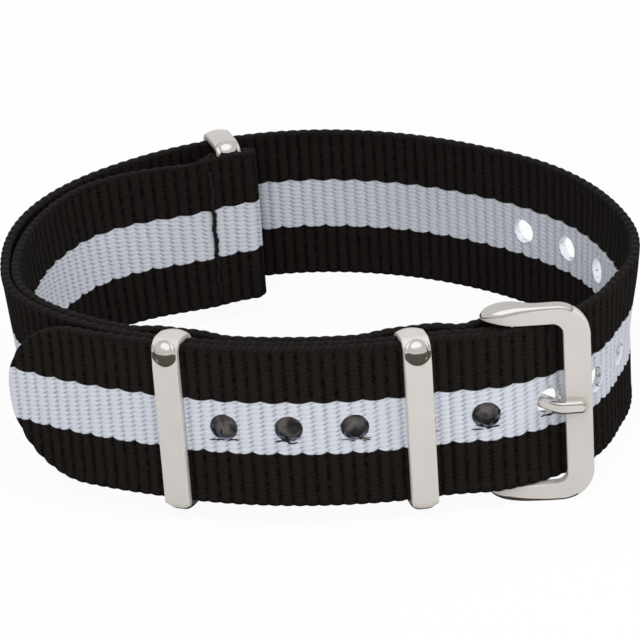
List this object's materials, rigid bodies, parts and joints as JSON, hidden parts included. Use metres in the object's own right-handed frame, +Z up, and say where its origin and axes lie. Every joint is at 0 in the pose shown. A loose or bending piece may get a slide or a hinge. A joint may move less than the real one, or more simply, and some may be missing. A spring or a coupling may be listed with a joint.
{
  "type": "nylon watch strap",
  "caption": "Striped nylon one-piece watch strap with a pin buckle and metal keepers, buckled into a loop and standing on its edge.",
  "frame": {"origin": "centre of the closed loop's bounding box, on the surface that its lower edges stand on", "axes": "+X to the buckle side seen from the front, +Y away from the viewer towards the back of the loop, +Z up along the webbing's width"},
  "size_m": [0.0744, 0.064, 0.0243],
  "materials": {
    "webbing": "ribbed weave, black with a white middle stripe a third of the width",
    "steel": "satin flats with polished edges",
    "thread": "twisted sewing thread"
  },
  "bodies": {
    "strap": {"long_strap": "webbing", "strap_buckle_span": "webbing", "strap_tail": "webbing", "short_strap": "webbing", "fold_stitching": "thread", "keeper_stitching": "thread", "end_loop_stitching": "thread"},
    "tip": {"strap_tip": "webbing"},
    "buckle": {"buckle_frame": "steel", "buckle_pin": "steel"},
    "tongue": {"buckle_tongue": "steel"},
    "near_ring": {"keeper_near": "steel"},
    "far_ring": {"keeper_far": "steel"},
    "end_ring": {"keeper_end_ring": "steel"}
  },
  "joints": [
    {"name": "buckle_swing", "type": "hinge", "parent": "strap", "child": "buckle", "pos_m": [0.01884, -0.02724, 0.01215], "axis": [0, 0, -1], "range_deg": [0, 20], "deforming": ["strap_buckle_span"]},
    {"name": "tongue_swing", "type": "hinge", "parent": "buckle", "child": "tongue", "pos_m": [0.01884, -0.02724, 0.01215], "axis": [0, 0, -1], "range_deg": [0, 20], "deforming": ["strap_buckle_span"]},
    {"name": "tip_lift", "type": "hinge", "parent": "strap", "child": "tip", "pos_m": [-0.02023, -0.02706, 0.01215], "axis": [0, 0, 1], "range_deg": [0, 35], "stiffness_Nm_per_rad": 0.002},
    {"name": "keeper_near_slide", "type": "slide", "parent": "strap", "child": "near_ring", "axis": [0.9929, 0.1191, 0], "range_m": [-0.0008, 0.0008]},
    {"name": "keeper_far_slide", "type": "slide", "parent": "strap", "child": "far_ring", "axis": [0.9263, -0.3769, 0], "range_m": [-0.0008, 0.0008]},
    {"name": "end_ring_slide", "type": "slide", "parent": "strap", "child": "end_ring", "axis": [0.9636, 0.2672, 0], "range_m": [-0.0002, 0.0005]}
  ]
}
